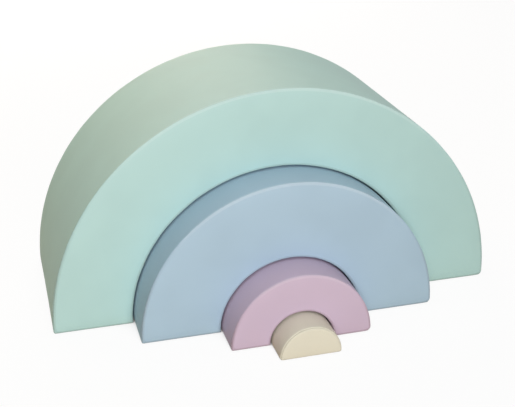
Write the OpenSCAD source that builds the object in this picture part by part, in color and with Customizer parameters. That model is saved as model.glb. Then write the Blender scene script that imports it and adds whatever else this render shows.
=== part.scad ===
// Rainbow of soft foam blocks: three arches and a half-round that nest in one another.
// Each block is a cut foam core in a sewn leatherette cover that opens with a zip underneath.
// Lengths in millimetres. Fronts face -Y, the floor is z = 0, the arches share the Y axis.

/* [Blocks] */
// Radius of the cream half-round
cream_r = 53.5; // [45:0.5:80]
// Thickness of the lilac arch
lilac_wall = 67; // [58:1:100]
// Thickness of the blue arch
blue_wall = 136; // [60:1:200]
// Thickness of the mint arch
mint_wall = 136; // [60:1:200]
// Depth of every block from front to back
block_d = 295; // [200:1:400]
// Gap between one block and the next
nest_gap = 2.5; // [1.5:0.1:6]

/* [Pulled out] */
// How far the blue arch stands in front of the mint arch
blue_out = 71; // [0:1:150]
// How far the lilac arch stands in front of the blue arch
lilac_out = 62; // [0:1:150]
// How far the half-round stands in front of the lilac arch
cream_out = 49; // [0:1:150]

/* [Cover] */
// Thickness of the leatherette
cover_t = 1.2; // [0.8:0.1:1.6]
// Radius of the roll on each side of a seam
lip_r = 3.5; // [3.5:0.5:7]
// Angle that the leatherette rolls through before it meets the seam
lip_roll = 65; // [50:1:75]
// Width of the seam line between two panels
seam_gap = 0.4; // [0.3:0.1:0.8]
// Slack between the foam and its cover
foam_slack = 0.4; // [0.3:0.1:0.8]

/* [Zip] */
// Distance from each end of the zip to the front and back of its block
zip_end = 24; // [20:1:60]
// Distance between the teeth of one row
tooth_pitch = 3; // [3:0.1:4]
// Width of one tooth
tooth_w = 1.1; // [0.8:0.05:1.1]
// Reach of a tooth past the centre line
tooth_reach = 0.9; // [0.5:0.05:1.2]
// Thickness of the teeth
tooth_t = 2.4; // [2:0.1:2.8]
// Half the distance between the two beads that carry the teeth
bead_in = 1.8; // [1.6:0.1:2.2]
// Width of a bead
bead_w = 1.2; // [1:0.1:1.6]
// Width of one tape
tape_w = 10.5; // [9:0.5:12]
// Thickness of a tape
tape_t = 0.6; // [0.4:0.1:0.8]
// Width of the leatherette turned under along the zip
hem_w = 6; // [4:0.5:8]
// Thickness of the slider's plates
plate_t = 0.9; // [0.8:0.1:1.2]
// Length of the slider
slider_len = 13; // [10:0.5:16]
// Width of the slider's rails
rail_w = 1.4; // [1:0.1:1.8]
// Width of the post that parts the teeth
post_w = 1.6; // [1:0.1:2]
// Length of the post
post_len = 3; // [2:0.5:4]
// Room around what runs in the slider
run_gap = 0.3; // [0.3:0.05:0.4]
// Height of the slider above the floor
slider_floor = 0.3; // [0.2:0.05:0.5]
// Room around the slider in the cover and in the foam
slider_room = 0.6; // [0.4:0.1:1]

/* [Hidden] */
$fn = 96;
// Overrun of every cut past the faces that it goes through
overrun = 5;
// How far the circle of a roll stands past its flat before the flat trims it
lip_bite = 0.05;
// Sweep of an arch below the floor on each side, cut off level afterwards
sweep_under = 3;
// Share of the slider's half-width that is left at its narrow end
slider_taper_share = 0.75;
// Share of the slider's length that keeps its full width
slider_shoulder_share = 0.55;

mint_colour = [0.70, 0.84, 0.80];
blue_colour = [0.66, 0.74, 0.82];
lilac_colour = [0.77, 0.69, 0.76];
cream_colour = [0.87, 0.84, 0.76];
foam_colour = [0.93, 0.91, 0.82];
zip_colour = [0.86, 0.86, 0.84];
slider_colour = [0.62, 0.63, 0.65];

// Radii, from the middle outwards
lilac_ri = cream_r + nest_gap;
lilac_ro = lilac_ri + lilac_wall;
blue_ri = lilac_ro + nest_gap;
blue_ro = blue_ri + blue_wall;
mint_ri = blue_ro + nest_gap;
mint_ro = mint_ri + mint_wall;
tall = mint_ro + overrun;

// Front faces, with the whole row centred on the origin
row_d = block_d + blue_out + lilac_out + cream_out;
cream_y = -row_d / 2;
lilac_y = cream_y + cream_out;
blue_y = lilac_y + lilac_out;
mint_y = blue_y + blue_out;

// A block is its inner radius, outer radius and front face
MINT = [mint_ri, mint_ro, mint_y];
BLUE = [blue_ri, blue_ro, blue_y];
LILAC = [lilac_ri, lilac_ro, lilac_y];
CREAM = [0, cream_r, cream_y];
function r_in(b) = b[0];
function r_out(b) = b[1];
function front(b) = b[2];
function is_arch(b) = r_in(b) > 0;

// A roll takes this much of the flat on each side of an edge
lip_c = lip_r * (1 + sin(lip_roll) - cos(lip_roll));
// Depth of the wedges that part one panel from the next
wedge = lip_c + cover_t;
// A seam line's half-width, measured along a face
seam_shift = seam_gap / sqrt(2);
foam_inset = cover_t + foam_slack;

// Heights and widths of the zip, from the floor up
tooth_z = slider_floor + plate_t + run_gap;
tape_z = tooth_z + (tooth_t - tape_t) / 2;
slider_h = 2 * plate_t + 2 * run_gap + tooth_t;
slider_top = slider_floor + slider_h;
bead_out = bead_in + bead_w;
slider_w = 2 * (bead_out + run_gap + rail_w);
tape_in = bead_out + run_gap / 3;
tape_out = tape_in + tape_w;
slot_w = slider_w + 2 * slider_room;
zip_len = block_d - 2 * zip_end;
// The closed slider stands one tooth from the end of the slot
slider_start = zip_len - slider_len - tooth_pitch;
// The teeth end short of the closed slider's post
tooth_end = slider_start + slider_len - post_len - run_gap;
tooth_count = floor((tooth_end - tooth_w) / tooth_pitch);
function zip_x(b) = is_arch(b) ? (r_in(b) + r_out(b)) / 2 : 0;

// Turns a drawing of radius and depth into half a ring about the Y axis, a little under the floor
module half_ring(b)
    translate([0, front(b), 0])
        rotate([90, 0, 0])
            rotate([0, 0, -sweep_under])
                rotate_extrude(angle = 180 + 2 * sweep_under)
                    mirror([0, 1])
                        children();

// Draws a length of a front view along Y
module along_depth(b)
    translate([0, front(b) + block_d + overrun, 0])
        rotate([90, 0, 0])
            linear_extrude(block_d + 2 * overrun)
                children();

// Draws a length of a side view along X, with depth measured from the block's front
module across(b)
    translate([-r_out(b) - overrun, front(b), 0])
        rotate([90, 0, 90])
            linear_extrude(2 * (r_out(b) + overrun))
                children();

// The two rolls of leatherette at a corner, which meet in the seam
module rolls(corner, inward, inset) {
    translate([corner[0] + inward[0] * lip_c, corner[1] + inward[1] * lip_r])
        circle(lip_r - inset + lip_bite);
    translate([corner[0] + inward[0] * lip_r, corner[1] + inward[1] * lip_c])
        circle(lip_r - inset + lip_bite);
}

// Cut through a block's wall, radius against depth, with a rolled seam at each corner
module wall_section(b, inset) {
    near = is_arch(b) ? r_in(b) + inset : 0;
    flat_in = is_arch(b) ? r_in(b) + lip_c : 0;
    intersection() {
        translate([near, inset])
            square([r_out(b) - inset - near, block_d - 2 * inset]);
        union() {
            translate([flat_in, 0])
                square([r_out(b) - lip_c - flat_in, block_d]);
            translate([is_arch(b) ? r_in(b) : 0, lip_c])
                square([r_out(b) - r_in(b), block_d - 2 * lip_c]);
            for (end = [0, 1]) {
                rolls([r_out(b), end * block_d], [-1, 1 - 2 * end], inset);
                if (is_arch(b))
                    rolls([r_in(b), end * block_d], [1, 1 - 2 * end], inset);
            }
        }
    }
}

// Outline of a leg above the floor, with a rolled seam at each lower corner
module leg_outline(x0, x1, inset) {
    translate([x0 + lip_c, -overrun])
        square([x1 - x0 - 2 * lip_c, tall]);
    translate([x0 - overrun, lip_c])
        square([x1 - x0 + 2 * overrun, tall]);
    rolls([x0, 0], [1, 1], inset);
    rolls([x1, 0], [-1, 1], inset);
}

// Front view of the legs, cut level at the floor
module legs_outline(b, inset)
    intersection() {
        translate([-tall, inset])
            square([2 * tall, tall]);
        union() {
            if (is_arch(b)) {
                leg_outline(r_in(b), r_out(b), inset);
                leg_outline(-r_out(b), -r_in(b), inset);
                translate([-tall, lip_c])
                    square([2 * tall, tall]);
            } else
                leg_outline(-r_out(b), r_out(b), inset);
        }
    }

// The whole block, or the block made smaller all round by the inset
module block(b, inset)
    intersection() {
        half_ring(b)
            wall_section(b, inset);
        along_depth(b)
            legs_outline(b, inset);
        across(b)
            leg_outline(0, block_d, inset);
    }

module cover(b)
    difference() {
        block(b, 0);
        block(b, cover_t);
    }

// Wedge behind a flat from one edge to another, whose sides are the planes of the seams
module seam_wedge(x0, x1, shift)
    polygon([
        [x0 + shift - overrun, -overrun],
        [x1 - shift + overrun, -overrun],
        [x1 - shift - wedge, wedge],
        [x0 + shift + wedge, wedge]
    ]);

// Space of one foot's panel, between the seams around it
module foot_space(b, x0, x1, shift)
    intersection() {
        along_depth(b)
            seam_wedge(x0, x1, shift);
        across(b)
            seam_wedge(0, block_d, shift);
    }

module right_foot_space(b, shift)
    foot_space(b, r_in(b), r_out(b), shift);

module left_foot_space(b, shift)
    foot_space(b, -r_out(b), -r_in(b), shift);

// Everything under the seams at the floor
module under_space(b)
    if (is_arch(b)) {
        right_foot_space(b, -seam_shift);
        left_foot_space(b, -seam_shift);
    } else
        foot_space(b, -r_out(b), r_out(b), -seam_shift);

// Space of a face panel, radius against depth
module face_wedge(b)
    if (is_arch(b))
        seam_wedge(r_in(b), r_out(b), seam_shift);
    else
        intersection() {
            seam_wedge(-r_out(b), r_out(b), seam_shift);
            translate([0, -overrun])
                square([r_out(b) + overrun, wedge + overrun]);
        }

module panel(b)
    difference() {
        intersection() {
            cover(b);
            half_ring(b)
                children();
        }
        under_space(b);
    }

module front_panel(b)
    panel(b)
        face_wedge(b);

module back_panel(b)
    panel(b)
        translate([0, block_d])
            mirror([0, 1])
                face_wedge(b);

module outer_band(b)
    panel(b)
        translate([r_out(b), 0])
            rotate(90)
                seam_wedge(0, block_d, seam_shift);

module inner_band(b)
    panel(b)
        translate([r_in(b), 0])
            mirror([1, 0])
                rotate(90)
                    seam_wedge(0, block_d, seam_shift);

// A bar along the zip, from x0 to x1 off its centre line
module zip_bar(b, x0, x1, z0, z1, spare)
    translate([zip_x(b) + x0, front(b) + zip_end - spare, z0])
        cube([x1 - x0, zip_len + 2 * spare, z1 - z0]);

module left_foot(b)
    intersection() {
        cover(b);
        left_foot_space(b, seam_shift);
    }

// The panel that the zip is sewn in, its edges turned under along the slot
module zipped_panel(b)
    difference() {
        union() {
            intersection() {
                cover(b);
                if (is_arch(b))
                    right_foot_space(b, seam_shift);
                else
                    foot_space(b, -r_out(b), r_out(b), seam_shift);
            }
            zip_bar(b, -slot_w / 2 - hem_w, slot_w / 2 + hem_w, cover_t / 2,
                    tape_z - run_gap / 3, hem_w);
        }
        zip_bar(b, -slot_w / 2, slot_w / 2, -overrun, tape_z + overrun, 0);
    }

// Foam, with a relief for the tapes and hems and a channel for the slider
module foam_core(b)
    difference() {
        block(b, foam_inset);
        zip_bar(b, -tape_out - slider_room, tape_out + slider_room, -overrun,
                tape_z + tape_t + slider_room, hem_w + slider_room);
        zip_bar(b, -slot_w / 2, slot_w / 2, -overrun, slider_top + slider_room, 0);
    }

module zip_tapes(b)
    for (side = [-1, 1])
        zip_bar(b, side > 0 ? tape_in : -tape_out, side > 0 ? tape_out : -tape_in,
                tape_z, tape_z + tape_t, 0);

// One row of teeth on its bead, drawn from above
module tooth_row(start) {
    translate([bead_in, 0])
        square([bead_w, zip_len]);
    for (i = [0 : tooth_count - 1])
        translate([-tooth_reach, start + i * tooth_pitch])
            square([bead_in + tooth_reach + bead_w / 2, tooth_w]);
}

module zip_teeth(b)
    translate([zip_x(b), front(b) + zip_end, tooth_z])
        linear_extrude(tooth_t) {
            tooth_row(tooth_pitch / 2);
            mirror([1, 0])
                tooth_row(tooth_pitch);
        }

// Plate of the slider seen from above, its shoulders towards the closed end
module slider_plate() {
    half = slider_w / 2;
    polygon([
        [-half * slider_taper_share, 0],
        [half * slider_taper_share, 0],
        [half, slider_len * (1 - slider_shoulder_share)],
        [half, slider_len],
        [-half, slider_len],
        [-half, slider_len * (1 - slider_shoulder_share)]
    ]);
}

// Two plates whose rails grip the teeth, joined by the post that parts them
module zip_slider(b)
    translate([zip_x(b), front(b) + zip_end + slider_start, slider_floor]) {
        difference() {
            linear_extrude(slider_h)
                slider_plate();
            translate([-bead_out - run_gap, -overrun, plate_t])
                cube([2 * (bead_out + run_gap), slider_len + 2 * overrun, tooth_t + 2 * run_gap]);
            translate([-slider_w, -overrun, tape_z - slider_floor - run_gap])
                cube([2 * slider_w, slider_len + 2 * overrun, tape_t + 2 * run_gap]);
        }
        translate([-post_w / 2, slider_len - post_len, plate_t / 2])
            cube([post_w, post_len, slider_h - plate_t]);
    }

module mint_foam_core() color(foam_colour) foam_core(MINT);
module mint_front_panel() color(mint_colour) front_panel(MINT);
module mint_back_panel() color(mint_colour) back_panel(MINT);
module mint_outer_band() color(mint_colour) outer_band(MINT);
module mint_inner_band() color(mint_colour) inner_band(MINT);
module mint_left_foot() color(mint_colour) left_foot(MINT);
module mint_right_foot() color(mint_colour) zipped_panel(MINT);
module mint_zip_tapes() color(zip_colour) zip_tapes(MINT);
module mint_zip_teeth() color(zip_colour) zip_teeth(MINT);
module mint_zip_slider() color(slider_colour) zip_slider(MINT);

module blue_foam_core() color(foam_colour) foam_core(BLUE);
module blue_front_panel() color(blue_colour) front_panel(BLUE);
module blue_back_panel() color(blue_colour) back_panel(BLUE);
module blue_outer_band() color(blue_colour) outer_band(BLUE);
module blue_inner_band() color(blue_colour) inner_band(BLUE);
module blue_left_foot() color(blue_colour) left_foot(BLUE);
module blue_right_foot() color(blue_colour) zipped_panel(BLUE);
module blue_zip_tapes() color(zip_colour) zip_tapes(BLUE);
module blue_zip_teeth() color(zip_colour) zip_teeth(BLUE);
module blue_zip_slider() color(slider_colour) zip_slider(BLUE);

module lilac_foam_core() color(foam_colour) foam_core(LILAC);
module lilac_front_panel() color(lilac_colour) front_panel(LILAC);
module lilac_back_panel() color(lilac_colour) back_panel(LILAC);
module lilac_outer_band() color(lilac_colour) outer_band(LILAC);
module lilac_inner_band() color(lilac_colour) inner_band(LILAC);
module lilac_left_foot() color(lilac_colour) left_foot(LILAC);
module lilac_right_foot() color(lilac_colour) zipped_panel(LILAC);
module lilac_zip_tapes() color(zip_colour) zip_tapes(LILAC);
module lilac_zip_teeth() color(zip_colour) zip_teeth(LILAC);
module lilac_zip_slider() color(slider_colour) zip_slider(LILAC);

module cream_foam_core() color(foam_colour) foam_core(CREAM);
module cream_front_panel() color(cream_colour) front_panel(CREAM);
module cream_back_panel() color(cream_colour) back_panel(CREAM);
module cream_top_band() color(cream_colour) outer_band(CREAM);
module cream_base_panel() color(cream_colour) zipped_panel(CREAM);
module cream_zip_tapes() color(zip_colour) zip_tapes(CREAM);
module cream_zip_teeth() color(zip_colour) zip_teeth(CREAM);
module cream_zip_slider() color(slider_colour) zip_slider(CREAM);

mint_foam_core();
mint_front_panel();
mint_back_panel();
mint_outer_band();
mint_inner_band();
mint_left_foot();
mint_right_foot();
mint_zip_tapes();
mint_zip_teeth();
mint_zip_slider();
blue_foam_core();
blue_front_panel();
blue_back_panel();
blue_outer_band();
blue_inner_band();
blue_left_foot();
blue_right_foot();
blue_zip_tapes();
blue_zip_teeth();
blue_zip_slider();
lilac_foam_core();
lilac_front_panel();
lilac_back_panel();
lilac_outer_band();
lilac_inner_band();
lilac_left_foot();
lilac_right_foot();
lilac_zip_tapes();
lilac_zip_teeth();
lilac_zip_slider();
cream_foam_core();
cream_front_panel();
cream_back_panel();
cream_top_band();
cream_base_panel();
cream_zip_tapes();
cream_zip_teeth();
cream_zip_slider();
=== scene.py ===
import math
from types import SimpleNamespace

import bmesh
import bpy
from mathutils import Matrix, Vector, kdtree, noise


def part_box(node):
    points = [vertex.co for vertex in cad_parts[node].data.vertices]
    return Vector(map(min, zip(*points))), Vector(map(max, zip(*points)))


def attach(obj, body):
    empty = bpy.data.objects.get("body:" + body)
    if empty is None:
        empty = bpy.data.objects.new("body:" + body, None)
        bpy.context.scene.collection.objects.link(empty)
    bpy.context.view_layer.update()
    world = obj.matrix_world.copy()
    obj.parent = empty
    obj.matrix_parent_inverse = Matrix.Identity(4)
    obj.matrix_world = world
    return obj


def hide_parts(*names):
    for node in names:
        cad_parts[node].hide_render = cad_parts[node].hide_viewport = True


# Rainbow of four soft foam blocks: three arches and a half-round that nest in one another.
# Each block is foam in a sewn leatherette cover, with a zip under its right foot or its base.
# Lengths are in metres. Fronts face -Y, the floor is z = 0, and the arches share the Y axis.

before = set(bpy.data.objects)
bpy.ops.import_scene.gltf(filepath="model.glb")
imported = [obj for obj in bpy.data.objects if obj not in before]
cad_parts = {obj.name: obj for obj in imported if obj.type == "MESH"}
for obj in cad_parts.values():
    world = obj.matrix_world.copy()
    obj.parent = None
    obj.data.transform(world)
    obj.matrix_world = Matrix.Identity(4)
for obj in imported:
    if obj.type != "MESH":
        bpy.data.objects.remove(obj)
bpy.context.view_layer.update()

# ---------------------------------------------------------------- measures of the blocks

NEST_GAP = 0.0025          # between one block and the next
ARCH_ROLL = 0.0025         # radius of the rolled edges round the faces of an arch
HALF_ROUND_ROLL = 0.005    # the same for the half-round
ROLL_STEPS = 6             # edges round a roll, with the seam in the middle
ROLL_ROOM = 0.002          # straight wall left over the highest roll into a sole
SEAM_PINCH = 0.0003        # how far a seam is pulled in by its stitching
SOFT_PINCH = 0.0001        # the same for the half-round, whose edges are softer
SEAM_PART = 0.00008        # half the line between two panels
SEAM_ALLOWANCE = 0.002     # cover turned in past the seam
COVER = 0.0012             # thickness of the leatherette
FOAM_INSET = 0.0016        # from the cover's outside to the foam
FOAM_ROLL = 0.011          # rounding of the foam's edges, which clears the seam allowances
ZIP_END = 0.024            # from each end of the zip slot to the front and back
ZIP_SLOT = 0.0106          # width of the zip slot
HEM_HEIGHT = 0.0022        # top of the leatherette turned in along the zip
HEM_CREASE = 0.7           # how sharply it is turned in
ZIP_ROOM = 0.0008          # room around the tapes and the slider in the foam
TOOTH_PITCH = 0.003        # from one zip tooth to the next in its row
TOOTH_WIDTH = 0.0011
TOOTH_REACH = 0.0009       # of a tooth past the middle of the zip
TOOTH_BEVEL = 0.00015
BEAD = 0.0012              # width of the bead that carries a row of teeth
ZIP_STOP = 0.002           # length of the stop at the open end of a zip
SLIDER_POST = 0.003        # length of the post that parts the teeth
SLIDER_GAP = 0.0003        # room around what runs in the slider
FOAM_COARSER = 1.5         # foam rows and columns against those of the cover
SOLE_MARK = 1              # marks the faces of a sole while a block is shaped
SAME_POINT = 1e-6          # points this close are one
FLAT = 1e-5                # what lies this near the floor or a cut is on it
MICROMETRES = 6            # decimal places of a length in metres

PUFF_FRAMES = 20
PUFF_PRESSURE = 4.0
FACE_PUFF = 0.0022         # most that a front or back face swells
OPEN_BAND_PUFF = 0.0016    # most that the outermost band swells
BAND_PUFF = 0.0007         # most that a band beside another block swells
PUCKER = 0.00035           # height of the puckers along a seam
PUCKER_REACH = 0.022       # how far the puckers run in from a seam
PUCKER_LENGTH = 0.030      # from one pucker to the next
PUCKER_FLOOR = 0.002       # height under which a cover lies flat, without puckers


def measure_block(colour, body, inside, roll, soles, rows, columns):
    """A block's radii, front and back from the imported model, and the rolls at its edges.

    Its cover is divided into rows of about that length, and into columns from foot to foot.
    """
    top = "outer_band" if inside else "top_band"
    return SimpleNamespace(
        colour=colour,
        body=body,
        inner=inside.outer + NEST_GAP if inside else 0.0,
        outer=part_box(f"{colour}_{top}")[1].z,
        front=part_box(f"{colour}_front_panel")[0].y,
        back=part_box(f"{colour}_back_panel")[1].y,
        roll=roll,
        soles=soles,
        rows=rows,
        columns=columns,
    )


# Radii of the rolls into the left sole, and then into the right one:
# on its left, on its right, and at its front and back
ARCH_SOLES = (0.003, 0.0015, 0.002), (0.0015, 0.008, 0.002)
HALF_ROUND_SOLES = ((0.003, 0.003, 0.002),) * 2
FOAM_SOLES = ((FOAM_ROLL,) * 3,) * 2

cream = measure_block(
    "cream", "cream_half_round", None, HALF_ROUND_ROLL, HALF_ROUND_SOLES, rows=0.008, columns=40,
)
lilac = measure_block(
    "lilac", "lilac_arch", cream, ARCH_ROLL, ARCH_SOLES, rows=0.009, columns=60,
)
blue = measure_block(
    "blue", "blue_arch", lilac, ARCH_ROLL, ARCH_SOLES, rows=0.011, columns=92,
)
mint = measure_block(
    "mint", "mint_arch", blue, ARCH_ROLL, ARCH_SOLES, rows=0.012, columns=126,
)
BLOCKS = (mint, blue, lilac, cream)

# A panel's name on the dressed block, and the node that it stands for
ARCH_PANELS = {
    "front": ("front_face", "front_panel"),
    "back": ("back_face", "back_panel"),
    "outer": ("outer_wrap", "outer_band"),
    "inner": ("inner_wrap", "inner_band"),
    "left": ("left_sole", "left_foot"),
    "right": ("right_sole", "right_foot"),
}
HALF_ROUND_PANELS = {
    "front": ("front_face", "front_panel"),
    "back": ("back_face", "back_panel"),
    "outer": ("top_wrap", "top_band"),
    "base": ("base_sole", "base_panel"),
}


def panels_of(block):
    return ARCH_PANELS if block.inner else HALF_ROUND_PANELS


def zipped_panel(block):
    return "right" if block.inner else "base"


# ---------------------------------------------------------------- shapes


def sweep_wall(bm, inner, outer, front, back, base, roll, rows, columns):
    """Spins the rounded section of a block's wall over from foot to foot, open below base."""
    where = bm.verts.layers.float_vector.new("section")
    section = [
        bm.verts.new((x, y, 0))
        for x, y in ((inner, front), (outer, front), (outer, back), (inner, back))
    ]
    bm.faces.new(section)
    corners = [v for v in section if v.co.x > 0]
    bmesh.ops.bevel(
        bm, geom=corners, offset=roll, affect="VERTICES",
        segments=ROLL_STEPS, profile=0.5, material=-1,
    )
    bmesh.ops.delete(bm, geom=bm.faces[:], context="FACES_ONLY")
    on_axis = [e for e in bm.edges if all(v.co.x < SAME_POINT for v in e.verts)]
    if on_axis:
        bmesh.ops.delete(bm, geom=on_axis, context="EDGES")
    for edge in bm.edges[:]:
        cuts = round(edge.calc_length() / rows) - 1
        if cuts > 0:
            bmesh.ops.subdivide_edges(bm, edges=[edge], cuts=cuts)
    for v in bm.verts:
        v[where] = v.co
    bmesh.ops.spin(
        bm, geom=bm.verts[:] + bm.edges[:], cent=(0, 0, 0), axis=(0, -1, 0),
        angle=math.pi, steps=columns, use_merge=False,
    )
    bmesh.ops.remove_doubles(bm, verts=bm.verts[:], dist=SAME_POINT)
    if inner:
        # Each point moves up along its own circle, so that the feet end level at base
        for v in bm.verts:
            radius = math.hypot(v.co.x, v.co.z)
            v.co.z = base + v.co.z * (1 - base / radius)
            v.co.x = math.copysign(math.sqrt(radius**2 - v.co.z**2), v.co.x)
    else:
        bmesh.ops.bisect_plane(
            bm, geom=bm.verts[:] + bm.edges[:] + bm.faces[:], dist=FLAT,
            plane_co=(0, 0, base), plane_no=(0, 0, 1), clear_inner=True,
        )


def roll_under(bm, cap, floor, left, right, depth):
    """Rolls the open end of a foot in to its sole, and marks what lies under the seam as sole."""
    xs, ys = ([v.co[i] for v in cap.verts] for i in (0, 1))
    # Middle of the roll at each point, the way out from it, its height, and its turn at the seam
    rim = []
    for v in cap.verts:
        core = Vector((
            min(max(v.co.x, min(xs) + left), max(xs) - right),
            min(max(v.co.y, min(ys) + depth), max(ys) - depth),
        ))
        out = v.co.xy - core
        width = right if out.x > 0 else left
        to_side = abs(out.x) / width
        height = depth + (width - depth) * to_side
        rim.append((core, out, height, math.atan(max(to_side, abs(out.y) / depth))))
    half = ROLL_STEPS // 2
    for ring in range(ROLL_STEPS + 1):
        cap = bmesh.ops.extrude_discrete_faces(bm, faces=[cap])["faces"][0]
        for v, (core, out, height, seam_turn) in zip(cap.verts, rim):
            if ring <= half:
                turn = seam_turn * ring / half
            else:
                turn = seam_turn + (math.pi / 2 - seam_turn) * (ring - half) / half
            v.co.xy = core + out * math.cos(turn)
            v.co.z = floor + height * (1 - math.sin(turn))
        if ring > half:
            for face in {f for e in cap.edges for f in e.link_faces}:
                face.material_index = SOLE_MARK
    bmesh.ops.remove_doubles(bm, verts=list(cap.verts), dist=SAME_POINT)


def sole_parts(bm, floor):
    """The flat faces on the floor, with their edges and points."""
    faces = [f for f in bm.faces if all(v.co.z < floor + FLAT for v in f.verts)]
    edges = {e for f in faces for e in f.edges}
    points = {v for f in faces for v in f.verts}
    return faces + list(edges) + list(points)


def divide_sole(bm, floor, axis, places):
    """Cuts the flat faces of the soles across at places along an axis."""
    normal = Vector((0, 0, 0))
    normal[axis] = 1
    for place in places:
        bmesh.ops.bisect_plane(
            bm, geom=sole_parts(bm, floor), dist=FLAT, plane_co=normal * place, plane_no=normal,
        )


def sole_window(bm, floor, left, right, front, back):
    """The flat faces of a sole between four sides, along which it is cut."""
    divide_sole(bm, floor, 0, (left, right))
    divide_sole(bm, floor, 1, (front, back))
    middles = [(f, f.calc_center_median()) for f in bm.faces]
    return [
        f
        for f, middle in middles
        if middle.z < floor + FLAT and left < middle.x < right and front < middle.y < back
    ]


def points_of(made):
    """The points among what an operator made."""
    return [v for v in made["geom"] if isinstance(v, bmesh.types.BMVert)]


def soft_block(block, inset, roll, soles, coarser):
    """The closed form of a block, smaller all round by the inset."""
    bm = bmesh.new()
    inner = block.inner + inset if block.inner else 0.0
    base = inset + max(max(radii) for radii in soles) + ROLL_ROOM
    sweep_wall(
        bm, inner, block.outer - inset, block.front + inset, block.back - inset,
        base, roll, block.rows * coarser, round(block.columns / coarser),
    )
    open_ends = [e for e in bm.edges if e.is_boundary]
    for cap in bmesh.ops.holes_fill(bm, edges=open_ends, sides=0)["faces"]:
        roll_under(bm, cap, inset, *soles[cap.calc_center_median().x > 0])
    rim = [v.co for v in bm.verts if v.co.z < inset + FLAT]
    divide_sole(bm, inset, 1, sorted({round(p.y, MICROMETRES) for p in rim}))
    if block.inner:
        divide_sole(bm, inset, 0, sorted({round(p.x, MICROMETRES) for p in rim}))
    bmesh.ops.recalc_face_normals(bm, faces=bm.faces[:])
    bm.normal_update()
    return bm


def panel_at(block, face, where):
    """The panel that a face of the cover belongs to."""
    if face.material_index == SOLE_MARK:
        if not block.inner:
            return "base"
        return "right" if face.calc_center_median().x > 0 else "left"
    middle = sum((v[where] for v in face.verts), Vector()) / len(face.verts)
    depth = {
        "front": middle.y - block.front,
        "back": block.back - middle.y,
        "outer": block.outer - middle.x,
    }
    if block.inner:
        depth["inner"] = middle.x - block.inner
    return min(depth, key=depth.get)


def sew_cover(block):
    """A block's whole cover, whose faces know their panels, and its seams, which are pulled in."""
    bm = soft_block(block, 0.0, block.roll, block.soles, 1)
    bm.verts.layers.float_vector.new("inward")
    bm.verts.layers.float.new("seam_distance")
    bm.verts.layers.float.new("seam_up")
    bm.verts.index_update()
    where = bm.verts.layers.float_vector["section"]
    inward = bm.verts.layers.float_vector["inward"]
    far = bm.verts.layers.float["seam_distance"]
    up = bm.verts.layers.float["seam_up"]
    order = list(panels_of(block))
    for face in bm.faces:
        face.material_index = order.index(panel_at(block, face, where))
    for v in bm.verts:
        v[inward] = -v.normal
    joined = [e for e in bm.edges if len({f.material_index for f in e.link_faces}) > 1]
    seam = sorted({v for e in joined for v in e.verts}, key=lambda v: v.index)
    pinch = SEAM_PINCH if block.inner else SOFT_PINCH
    for v in seam:
        v.co += v[inward] * pinch
    tree = kdtree.KDTree(len(seam))
    for v in seam:
        tree.insert(v.co, v.index)
    tree.balance()
    seam_up = {v.index: -v[inward].z for v in seam}
    for v in bm.verts:
        place, index, v[far] = tree.find(v.co)
        v[up] = seam_up[index]
    return bm, tree


def swell_limit(block, panel):
    """Most that a panel may swell."""
    if panel in ("front", "back"):
        return FACE_PUFF
    if panel == "outer":
        return OPEN_BAND_PUFF if block is mint else BAND_PUFF
    return BAND_PUFF if panel == "inner" else 0.0


def start_puff(block, bm):
    """A cloth copy of a cover, held at its seams and soles, with air pressure inside."""
    mesh = bpy.data.meshes.new(f"{block.colour}_cloth")
    bm.to_mesh(mesh)
    cloth = bpy.data.objects.new(f"{block.colour}_cloth", mesh)
    bpy.context.scene.collection.objects.link(cloth)
    far = bm.verts.layers.float["seam_distance"]
    held = [v.index for v in bm.verts if v[far] < SAME_POINT or v.co.z < FLAT]
    cloth.vertex_groups.new(name="held").add(held, 1.0, "REPLACE")
    modifier = cloth.modifiers.new("cloth", "CLOTH")
    settings = modifier.settings
    settings.vertex_group_mass = "held"
    settings.quality = 5
    settings.mass = 0.3
    settings.tension_stiffness = settings.compression_stiffness = 40
    settings.shear_stiffness = 20
    settings.bending_stiffness = 4
    settings.use_pressure = True
    settings.uniform_pressure_force = PUFF_PRESSURE
    settings.effector_weights.gravity = 0
    modifier.point_cache.frame_start, modifier.point_cache.frame_end = 1, PUFF_FRAMES
    return cloth


def keep_puff(block, bm, cloth):
    """Moves a cover out to where its cloth copy ended, no further than each panel may swell."""
    order = list(panels_of(block))
    ended = cloth.evaluated_get(bpy.context.evaluated_depsgraph_get()).data
    far = bm.verts.layers.float["seam_distance"]
    inward = bm.verts.layers.float_vector["inward"]
    bm.verts.ensure_lookup_table()
    moves = []
    for v, end in zip(bm.verts, ended.vertices):
        limit = min(swell_limit(block, order[f.material_index]) for f in v.link_faces)
        out = -v[inward]
        swell = (end.co - v.co).dot(out)
        free = limit and v[far] > SAME_POINT
        moves.append(out * (limit * math.tanh(swell / limit)) if free else Vector())
    for v, move in zip(bm.verts, moves):
        v.co += move


def puff_covers(covers):
    """Swells all the covers in one cloth run."""
    scene = bpy.context.scene
    cloths = [start_puff(block, bm) for block, bm, tree in covers]
    for step in range(1, PUFF_FRAMES + 1):
        scene.frame_set(step)
    for (block, bm, tree), cloth in zip(covers, cloths):
        keep_puff(block, bm, cloth)
    for cloth in cloths:
        mesh = cloth.data
        bpy.data.objects.remove(cloth)
        bpy.data.meshes.remove(mesh)
    scene.frame_set(1)


def pucker_seams(block, bm, tree):
    """Small gathers that run in from the seams, from the pull of the stitching."""
    far = bm.verts.layers.float["seam_distance"]
    inward = bm.verts.layers.float_vector["inward"]
    for v in bm.verts:
        if v[far] < SAME_POINT or v[far] > PUCKER_REACH or v.co.z < PUCKER_FLOOR:
            continue
        along = tree.find(v.co)[0]
        fade = (1 - v[far] / PUCKER_REACH) ** 2
        v.co -= v[inward] * (PUCKER * fade * noise.noise(along / PUCKER_LENGTH))


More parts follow.
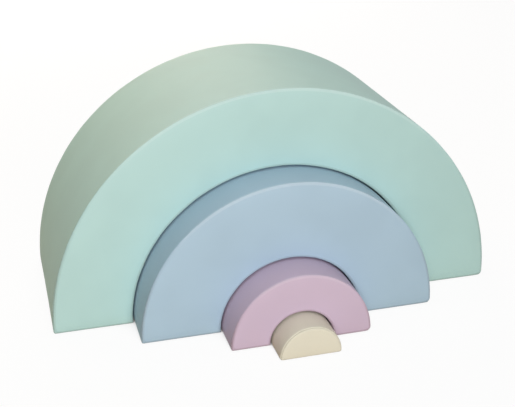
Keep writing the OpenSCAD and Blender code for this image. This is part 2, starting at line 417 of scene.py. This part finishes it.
def cut_zip_slot(bm, zip_x, front, back):
    """Opens the slot over a zip in a sole and turns the leatherette in along it."""
    crease = bm.edges.layers.float.new("crease_edge")
    hole = sole_window(bm, 0.0, zip_x - ZIP_SLOT / 2, zip_x + ZIP_SLOT / 2, front, back)
    rim = {e for f in hole for e in f.edges}
    bmesh.ops.delete(bm, geom=hole, context="FACES")
    rim = [e for e in rim if e.is_valid and e.is_boundary]
    for e in rim:
        e[crease] = HEM_CREASE
    for v in points_of(bmesh.ops.extrude_edge_only(bm, edges=rim)):
        v.co.z = HEM_HEIGHT


def make_piece(name, bm, material, block):
    """A piece that moves with its block."""
    mesh = bpy.data.meshes.new(name)
    bm.to_mesh(mesh)
    bm.free()
    piece = bpy.data.objects.new(name, mesh)
    bpy.context.scene.collection.objects.link(piece)
    mesh.materials.append(material)
    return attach(piece, block.body)


def cut_panel(block, cover, panel, material):
    """One panel of a cover as its own piece of leatherette, turned in along its seams."""
    name, node = (f"{block.colour}_{word}" for word in panels_of(block)[panel])
    bm = cover.copy()
    index = list(panels_of(block)).index(panel)
    others = [f for f in bm.faces if f.material_index != index]
    bmesh.ops.delete(bm, geom=others, context="FACES")
    for face in bm.faces:
        face.material_index = 0
    inward = bm.verts.layers.float_vector["inward"]
    edge = [e for e in bm.edges if e.is_boundary]
    part = {}
    for v in {v for e in edge for v in e.verts}:
        ways = [e.other_vert(v).co - v.co for e in v.link_edges if not e.is_boundary]
        part[v] = sum((way.normalized() for way in ways), Vector()).normalized() * SEAM_PART
    for v, shift in part.items():
        v.co += shift
    for v in points_of(bmesh.ops.extrude_edge_only(bm, edges=edge)):
        v.co += v[inward] * SEAM_ALLOWANCE
    if panel == zipped_panel(block):
        zip_x = (block.inner + block.outer) / 2 if block.inner else 0.0
        cut_zip_slot(bm, zip_x, block.front + ZIP_END, block.back - ZIP_END)
    for face in bm.faces:
        face.smooth = True
    piece = make_piece(name, bm, material, block)
    smooth = piece.modifiers.new("smooth", "SUBSURF")
    smooth.levels = smooth.render_levels = 1
    thick = piece.modifiers.new("leatherette", "SOLIDIFY")
    thick.thickness = COVER
    thick.offset = -1
    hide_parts(node)


def cut_foam(block, material):
    """The foam in a cover, with a channel for the zip."""
    bm = soft_block(block, FOAM_INSET, FOAM_ROLL, FOAM_SOLES, FOAM_COARSER)
    low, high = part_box(f"{block.colour}_zip_tapes")
    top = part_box(f"{block.colour}_zip_slider")[1].z + ZIP_ROOM
    channel = sole_window(
        bm, FOAM_INSET, low.x - ZIP_ROOM, high.x + ZIP_ROOM, low.y - ZIP_ROOM, high.y + ZIP_ROOM,
    )
    raised = points_of(bmesh.ops.extrude_face_region(bm, geom=channel))
    bmesh.ops.delete(bm, geom=channel, context="FACES")
    for v in raised:
        v.co.z = top
    bmesh.ops.recalc_face_normals(bm, faces=bm.faces[:])
    piece = make_piece(f"{block.colour}_foam", bm, material, block)
    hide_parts(f"{block.colour}_foam_core")


def mould_teeth(block, material):
    """A zip's stop and its two rows of teeth, from behind the open slider to the closed one."""
    low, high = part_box(f"{block.colour}_zip_teeth")
    slider_front, slider_back = (corner.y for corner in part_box(f"{block.colour}_zip_slider"))
    middle, bead_out = (low.x + high.x) / 2, (high.x - low.x) / 2
    bead_in, bead_middle = bead_out - BEAD, bead_out - BEAD / 2
    # The open slider stands one tooth from the front end of the zip
    open_slider_back = low.y + TOOTH_PITCH + slider_back - slider_front
    first = open_slider_back + SLIDER_GAP
    last = slider_back - SLIDER_POST - SLIDER_GAP - TOOTH_WIDTH
    # Each bar has its middle across the zip, its width there, its front and its back
    bars = [(0.0, 2 * bead_in, low.y, low.y + ZIP_STOP)]
    for side in (-1, 1):
        bars.append((side * bead_middle, BEAD, low.y, high.y))
        start = first if side < 0 else first + TOOTH_PITCH / 2
        x, length = side * (bead_middle - TOOTH_REACH) / 2, bead_middle + TOOTH_REACH
        for tooth in range(math.ceil((last - start) / TOOTH_PITCH)):
            y = start + tooth * TOOTH_PITCH
            bars.append((x, length, y, y + TOOTH_WIDTH))
    bm = bmesh.new()
    for x, width, front, back in bars:
        place = Vector((middle + x, (front + back) / 2, (low.z + high.z) / 2))
        size = Matrix.Diagonal((width, back - front, high.z - low.z, 1))
        bmesh.ops.create_cube(bm, size=1, matrix=Matrix.Translation(place) @ size)
    bmesh.ops.bevel(
        bm, geom=bm.edges[:], offset=TOOTH_BEVEL, affect="EDGES",
        segments=1, profile=0.5, material=-1,
    )
    piece = make_piece(f"{block.colour}_zip_rows", bm, material, block)
    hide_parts(f"{block.colour}_zip_teeth")


# ---------------------------------------------------------------- finishes


def shade(red, green, blue):
    """A colour from 0 to 255, as it looks in a picture, as a colour of light."""
    def light(value):
        value /= 255
        return value / 12.92 if value <= 0.04045 else ((value + 0.055) / 1.055) ** 2.4

    return (light(red), light(green), light(blue), 1.0)


class Wire:
    """A socket of a node tree: sums on it add Math nodes, and node() adds any other node."""

    def __init__(self, tree, socket=None):
        self.tree, self.socket = tree, socket

    def node(self, kind, settings=None, sockets=None, out=0):
        made = self.tree.nodes.new(kind)
        for name, value in (settings or {}).items():
            setattr(made, name, value)
        for name, value in (sockets or {}).items():
            if isinstance(value, Wire):
                self.tree.links.new(value.socket, made.inputs[name])
            else:
                made.inputs[name].default_value = value
        return Wire(self.tree, made.outputs[out] if made.outputs else None)

    def sum(self, operation, *values):
        return self.node("ShaderNodeMath", {"operation": operation}, dict(enumerate(values)))

    def __add__(self, other):
        return self.sum("ADD", self, other)

    def __sub__(self, other):
        return self.sum("SUBTRACT", self, other)

    def __rsub__(self, other):
        return self.sum("SUBTRACT", other, self)

    def __mul__(self, other):
        return self.sum("MULTIPLY", self, other)

    __radd__ = __add__
    __rmul__ = __mul__

    def between(self, low, high):
        """0 below low, 1 above high, and a smooth step between them."""
        return self.node(
            "ShaderNodeMapRange", {"interpolation_type": "SMOOTHSTEP"},
            {"Value": self, "From Min": low, "From Max": high},
        )

    def mix(self, first, second):
        """The first colour where this is 0, the second where it is 1."""
        return self.node(
            "ShaderNodeMix", {"data_type": "RGBA"}, {0: self, 6: first, 7: second}, out=2,
        )

    def noise(self, place, scale, detail=2.0):
        return self.node(
            "ShaderNodeTexNoise", None, {"Vector": place, "Scale": scale, "Detail": detail},
        )

    def bump(self, height, strength, distance):
        return self.node(
            "ShaderNodeBump", None,
            {"Height": height, "Strength": strength, "Distance": distance},
        )


def new_finish(name):
    """An empty material, and the wire that its nodes start from."""
    material = bpy.data.materials.new(name)
    material.use_nodes = True
    material.node_tree.nodes.clear()
    return material, Wire(material.node_tree)


def show(wire, shader):
    wire.node("ShaderNodeOutputMaterial", None, {"Surface": shader})


# Scales are in cells or waves to the metre. A bump has its strength and its height.
GRAIN_SCALE = 640.0           # pebbles of the leatherette
GRAIN_SLOPE = 0.0, 0.22       # from a pebble's edge to its flat top
GRAIN_HEIGHT = 0.7            # share of the bump
GRAIN_BUMP = 0.18, 0.0002
GRAIN_SOIL = 0.03             # between the pebbles
PORE_SCALE = 2600.0
PORE_HEIGHT = 0.3
CLOUD_SCALE = 9.0             # slow drift of the tone
CLOUD_SPAN = 0.35, 0.65
CLOUD_TINT = 0.965            # of the colour
WAVE_SCALE = 38.0
SOIL_AND_SHADE_REACH = 0.0004, 0.0028   # distances from a seam between which its dirt and painted shade fade
SOIL_AND_SHADE_FACING = 0.10, 0.50      # how far up a seam faces where its dirt and painted shade fade
SOIL_AND_SHADE_TINT = 0.62, 0.57, 0.54  # of the colour, for the dirt and painted shade
HIGHLIGHT_REACH = 0.0006, 0.0040    # distances from a seam between which its painted highlight fades
HIGHLIGHT_FACING = 0.38, 0.66       # how far up a seam faces where its painted highlight sets in
# how far the painted highlight goes towards white
HIGHLIGHT_TO_WHITE = 0.25
SATIN_ROUGHNESS = 0.52
CLOUD_ROUGHNESS = 0.08
WAVE_ROUGHNESS = 0.06
SATIN_SPECULAR = 0.22


def leatherette(name, colour, seam_highlight, seam_soil_and_shade):
    """Satin leatherette with a fine pebble grain.

    Seams that face up get a painted highlight, and the others are darkened by dirt from hands and
    floor and by painted shade.
    """
    material, wire = new_finish(name)
    place = wire.node("ShaderNodeTexCoord", out="Object")
    cells = wire.node(
        "ShaderNodeTexVoronoi", {"feature": "DISTANCE_TO_EDGE"},
        {"Vector": place, "Scale": GRAIN_SCALE},
    )
    pebble = cells.between(*GRAIN_SLOPE)
    pores = wire.noise(place, PORE_SCALE)
    cloud = wire.noise(place, CLOUD_SCALE)
    waves = wire.noise(place, WAVE_SCALE)
    seam = wire.node("ShaderNodeAttribute", {"attribute_name": "seam_distance"}, out="Fac")
    seam_up = wire.node("ShaderNodeAttribute", {"attribute_name": "seam_up"}, out="Fac")
    # Seams that face sideways or down are darkened by dirt and by painted shade
    groove = 1 - seam.between(*SOIL_AND_SHADE_REACH)
    faces_down_or_sideways = 1 - seam_up.between(*SOIL_AND_SHADE_FACING)
    # Seams that face up get a painted highlight
    painted_highlight = (1 - seam.between(*HIGHLIGHT_REACH)) * seam_up.between(*HIGHLIGHT_FACING)
    soil_and_shade_colour = tuple(c * part for c, part in zip(colour, SOIL_AND_SHADE_TINT)) + (1.0,)
    pale = tuple(c + (1 - c) * HIGHLIGHT_TO_WHITE for c in colour[:3]) + (1.0,)
    soft = tuple(c * CLOUD_TINT for c in colour[:3]) + (1.0,)
    base = cloud.between(*CLOUD_SPAN).mix(soft, colour)
    base = (painted_highlight * seam_highlight).mix(base, pale)
    base = (groove * faces_down_or_sideways * seam_soil_and_shade + (1 - pebble) * GRAIN_SOIL).mix(base, soil_and_shade_colour)
    height = pebble * GRAIN_HEIGHT + pores * PORE_HEIGHT
    shader = wire.node(
        "ShaderNodeBsdfPrincipled", None,
        {
            "Base Color": base,
            "Roughness": SATIN_ROUGHNESS + cloud * CLOUD_ROUGHNESS + waves * WAVE_ROUGHNESS,
            "Specular IOR Level": SATIN_SPECULAR,
            "Normal": wire.bump(height, *GRAIN_BUMP),
        },
    )
    show(wire, shader)
    return material


FOAM_PALE, FOAM_YELLOW = shade(238, 230, 204), shade(228, 218, 188)
FOAM_HOLLOW = shade(186, 174, 142)
FOAM_PORE_SCALE = 900.0
FOAM_PORE_WALL = 0.15, 0.5    # from the middle of a pore to its wall
FOAM_PORE_TINT = 0.5
FOAM_CLOUD_SCALE = 14.0
FOAM_ROUGHNESS = 0.85
FOAM_CLOUD_ROUGHNESS = 0.1
FOAM_BUMP = 0.5, 0.0004


def foam_finish():
    """Pale cut foam with open pores."""
    material, wire = new_finish("pale_cut_foam")
    place = wire.node("ShaderNodeTexCoord", out="Object")
    pores = wire.node(
        "ShaderNodeTexVoronoi", {"feature": "F1"},
        {"Vector": place, "Scale": FOAM_PORE_SCALE}, out="Distance",
    )
    hollow = 1 - pores.between(*FOAM_PORE_WALL)
    cloud = wire.noise(place, FOAM_CLOUD_SCALE)
    base = cloud.mix(FOAM_PALE, FOAM_YELLOW)
    base = (hollow * FOAM_PORE_TINT).mix(base, FOAM_HOLLOW)
    shader = wire.node(
        "ShaderNodeBsdfPrincipled", None,
        {
            "Base Color": base,
            "Roughness": FOAM_ROUGHNESS + cloud * FOAM_CLOUD_ROUGHNESS,
            "Normal": wire.bump(1 - hollow, *FOAM_BUMP),
        },
    )
    show(wire, shader)
    return material


TAPE_DARK, TAPE_PALE = shade(196, 196, 190), shade(232, 231, 226)
RIB_SCALE = 420.0
RIB_DISTORTION = 0.6
RIB_DETAIL = 1.0
RIB_TINT = 0.6
RIB_BUMP = 0.6, 0.0002
FUZZ_SCALE = 1500.0
FUZZ_TINT = 0.3
TAPE_ROUGHNESS = 0.8
FUZZ_ROUGHNESS = 0.12


def tape_finish():
    """Woven zip tape, twill ribs across its length."""
    material, wire = new_finish("woven_zip_tape")
    place = wire.node("ShaderNodeTexCoord", out="Object")
    ribs = wire.node(
        "ShaderNodeTexWave", {"wave_type": "BANDS", "bands_direction": "DIAGONAL"},
        {
            "Vector": place,
            "Scale": RIB_SCALE,
            "Distortion": RIB_DISTORTION,
            "Detail": RIB_DETAIL,
        },
    )
    fuzz = wire.noise(place, FUZZ_SCALE)
    base = (ribs * RIB_TINT + fuzz * FUZZ_TINT).mix(TAPE_DARK, TAPE_PALE)
    shader = wire.node(
        "ShaderNodeBsdfPrincipled", None,
        {
            "Base Color": base,
            "Roughness": TAPE_ROUGHNESS + fuzz * FUZZ_ROUGHNESS,
            "Normal": wire.bump(ribs, *RIB_BUMP),
        },
    )
    show(wire, shader)
    return material


TEETH_DARK, TEETH_PALE = shade(208, 208, 203), shade(226, 226, 221)
MOTTLE_SCALE = 700.0
TEETH_ROUGHNESS = 0.38
MOTTLE_ROUGHNESS = 0.15
MOTTLE_BUMP = 0.15, 0.0001


def teeth_finish():
    """Moulded zip teeth, slightly mottled."""
    material, wire = new_finish("moulded_zip_teeth")
    place = wire.node("ShaderNodeTexCoord", out="Object")
    mottle = wire.noise(place, MOTTLE_SCALE)
    shader = wire.node(
        "ShaderNodeBsdfPrincipled", None,
        {
            "Base Color": mottle.mix(TEETH_DARK, TEETH_PALE),
            "Roughness": TEETH_ROUGHNESS + mottle * MOTTLE_ROUGHNESS,
            "Normal": wire.bump(mottle, *MOTTLE_BUMP),
        },
    )
    show(wire, shader)
    return material


PAINT_DARK, PAINT_PALE = shade(150, 152, 156), shade(166, 168, 171)
BARE_METAL = shade(196, 197, 196)
SPECK_SCALE, SPECK_DETAIL = 1600.0, 4.0
SPECK_SPAN = 0.62, 0.70
SPECK_TINT = 0.45
SPECK_METALLIC = 0.8
DRIFT_SCALE = 260.0
PAINT_ROUGHNESS = 0.34
DRIFT_ROUGHNESS = 0.16
PAINT_BUMP = 0.12, 0.0001


def slider_finish():
    """Painted metal zip slider with worn specks."""
    material, wire = new_finish("painted_zip_slider")
    place = wire.node("ShaderNodeTexCoord", out="Object")
    specks = wire.noise(place, SPECK_SCALE, SPECK_DETAIL).between(*SPECK_SPAN)
    drift = wire.noise(place, DRIFT_SCALE)
    base = drift.mix(PAINT_DARK, PAINT_PALE)
    shader = wire.node(
        "ShaderNodeBsdfPrincipled", None,
        {
            "Base Color": (specks * SPECK_TINT).mix(base, BARE_METAL),
            "Metallic": specks * SPECK_METALLIC,
            "Roughness": PAINT_ROUGHNESS + drift * DRIFT_ROUGHNESS,
            "Normal": wire.bump(drift, *PAINT_BUMP),
        },
    )
    show(wire, shader)
    return material


# Per colour: the strength of the painted highlight on up-facing seams, and of the dirt and painted
# shade on the other seams
LEATHERETTES = {
    "mint": leatherette(
        "mint_satin_leatherette", shade(178, 211, 210), seam_highlight=0.60, seam_soil_and_shade=0.58,
    ),
    "blue": leatherette(
        "blue_satin_leatherette", shade(168, 193, 212), seam_highlight=0.60, seam_soil_and_shade=0.60,
    ),
    "lilac": leatherette(
        "lilac_satin_leatherette", shade(199, 180, 201), seam_highlight=0.38, seam_soil_and_shade=0.72,
    ),
    "cream": leatherette(
        "cream_satin_leatherette", shade(218, 214, 198), seam_highlight=0.0, seam_soil_and_shade=0.08,
    ),
}
FOAM = foam_finish()
TEETH = teeth_finish()
ZIP_FINISHES = {
    "zip_tapes": tape_finish(),
    "zip_slider": slider_finish(),
}

# ---------------------------------------------------------------- the four blocks

covers = [(block, *sew_cover(block)) for block in BLOCKS]
puff_covers(covers)
for block, cover, tree in covers:
    pucker_seams(block, cover, tree)
    for panel in panels_of(block):
        cut_panel(block, cover, panel, LEATHERETTES[block.colour])
    cover.free()
    cut_foam(block, FOAM)
    mould_teeth(block, TEETH)
    for part, finish in ZIP_FINISHES.items():
        for material_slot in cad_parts[f"{block.colour}_{part}"].material_slots:
            material_slot.material = finish

# ---------------------------------------------------------------- studio

WHITE = (1.0, 1.0, 1.0, 1.0)
FLOOR_SIZE = 9.0
FLOOR_COLOUR = (0.9, 0.9, 0.9, 1.0)
FLOOR_BOUNCE = (0.46, 0.35, 0.18, 1.0)  # colour of the light that it sends back
FLOOR_GLOW = 0.93                       # share of plain white in what the camera sees of it
SHADE_REACH = 0.30                      # how far off a block still shades the floor
SHADE_SPAN = 0.06, 0.40                 # share of open room from full shade to none
SHADE_SAMPLES = 16
SENSOR_WIDTH = 36.0


def seen_directly(wire):
    """1 for what the camera sees, straight or in a reflection or through glass."""
    def ray(kind):
        return wire.node("ShaderNodeLightPath", out=kind)

    straight_or_mirrored = wire.sum("MAXIMUM", ray("Is Camera Ray"), ray("Is Glossy Ray"))
    return wire.sum("MAXIMUM", straight_or_mirrored, ray("Is Transmission Ray"))


def lay_floor():
    """A pale floor that sends back warm light, and is white to the camera but for the shade."""
    material, wire = new_finish("pale_studio_floor")
    seen = seen_directly(wire)
    open_above = wire.node(
        "ShaderNodeAmbientOcclusion", {"samples": SHADE_SAMPLES},
        {"Distance": SHADE_REACH}, out="AO",
    ).between(*SHADE_SPAN)
    lit = wire.node(
        "ShaderNodeBsdfDiffuse", None,
        {"Color": seen.mix(FLOOR_BOUNCE, FLOOR_COLOUR)},
    )
    glow = wire.node("ShaderNodeEmission", None, {"Color": WHITE, "Strength": 1.0})
    white = seen * open_above * FLOOR_GLOW
    show(wire, wire.node("ShaderNodeMixShader", None, {0: white, 1: lit, 2: glow}))
    bm = bmesh.new()
    bmesh.ops.create_grid(bm, x_segments=1, y_segments=1, size=FLOOR_SIZE)
    mesh = bpy.data.meshes.new("studio_floor")
    bm.to_mesh(mesh)
    bm.free()
    mesh.materials.append(material)
    floor = bpy.data.objects.new("studio_floor", mesh)
    bpy.context.scene.collection.objects.link(floor)


def hang_softbox(name, place, aim, width, height, power, colour, glossy=True):
    """A rectangular light that the camera doesn't see."""
    light = bpy.data.lights.new(name, "AREA")
    light.shape = "RECTANGLE"
    light.size, light.size_y = width, height
    light.energy = power
    light.color = colour
    lamp = bpy.data.objects.new(name, light)
    lamp.location = place
    lamp.rotation_mode = "QUATERNION"
    lamp.rotation_quaternion = (Vector(aim) - Vector(place)).to_track_quat("-Z", "Y")
    lamp.visible_camera = False
    lamp.visible_glossy = glossy
    bpy.context.scene.collection.objects.link(lamp)


def fill_room(colour, strength):
    """Even light from all round, in front of a white background."""
    world = bpy.data.worlds.new("studio_room")
    world.use_nodes = True
    world.node_tree.nodes.clear()
    wire = Wire(world.node_tree)
    room = wire.node("ShaderNodeBackground", None, {"Color": colour, "Strength": strength})
    white = wire.node("ShaderNodeBackground", None, {"Color": WHITE, "Strength": 1.0})
    shown = wire.node("ShaderNodeMixShader", None, {0: seen_directly(wire), 1: room, 2: white})
    wire.node("ShaderNodeOutputWorld", None, {"Surface": shown})
    bpy.context.scene.world = world


def place_camera(place, yaw, pitch, roll, lens):
    """The photograph's view, in a picture 515 wide and 407 high."""
    camera = bpy.data.cameras.new("photo_camera")
    camera.sensor_fit = "HORIZONTAL"
    camera.sensor_width = SENSOR_WIDTH
    camera.lens = lens
    stand = bpy.data.objects.new("photo_camera", camera)
    turn = (
        Matrix.Rotation(math.radians(-yaw), 4, "Z")
        @ Matrix.Rotation(math.radians(90 - pitch), 4, "X")
        @ Matrix.Rotation(math.radians(roll), 4, "Z")
    )
    stand.matrix_world = Matrix.Translation(place) @ turn
    bpy.context.scene.collection.objects.link(stand)
    bpy.context.scene.camera = stand


ROOM_LIGHT = ((1.0, 0.97, 0.93, 1.0), 0.076)
# Name, place, aim, width, height, power and colour, and whether glossy surfaces show it
SOFTBOXES = (
    ("front_softbox", (-0.9, -3.2, 2.2), (0, -0.1, 0.15), 2.2, 1.8, 54.5, (1.0, 1.0, 1.0)),
    ("low_front_softbox", (-0.4, -3.5, 0.7), (-2.1, -0.7, 0.05), 2.2, 1.2, 78.0, (1.0, 1.0, 1.0)),
    ("top_softbox", (0.0, 0.2, 3.3), (0, 0, 0.2), 2.0, 2.0, 34.0, (1.0, 0.97, 0.89)),
    ("back_softbox", (0.1, 3.2, 1.5), (0, 0, 0.3), 1.6, 1.0, 35.0, (1.0, 0.78, 0.60)),
    ("back_left_softbox", (-1.8, 2.8, 1.9), (0, 0, 0.3), 1.6, 1.2, 29.5, (1.0, 0.79, 0.38)),
    ("low_back_softbox", (0.0, 3.4, 0.30), (0, 0, 0.25), 0.8, 0.5, 62.0, (0.80, 0.92, 1.0), False),
    ("low_right_softbox", (3.4, 0.5, 0.25), (0, 0, 0.20), 1.6, 0.4, 5.0, (0.88, 0.95, 1.0), False),
)

lay_floor()
fill_room(*ROOM_LIGHT)
for softbox in SOFTBOXES:
    hang_softbox(*softbox)
place_camera(
    place=(-0.45642, -1.53295, 0.88351), yaw=15.7098, pitch=24.0177, roll=0.0536, lens=68.887,
)

bpy.context.scene.view_settings.view_transform = "Standard"
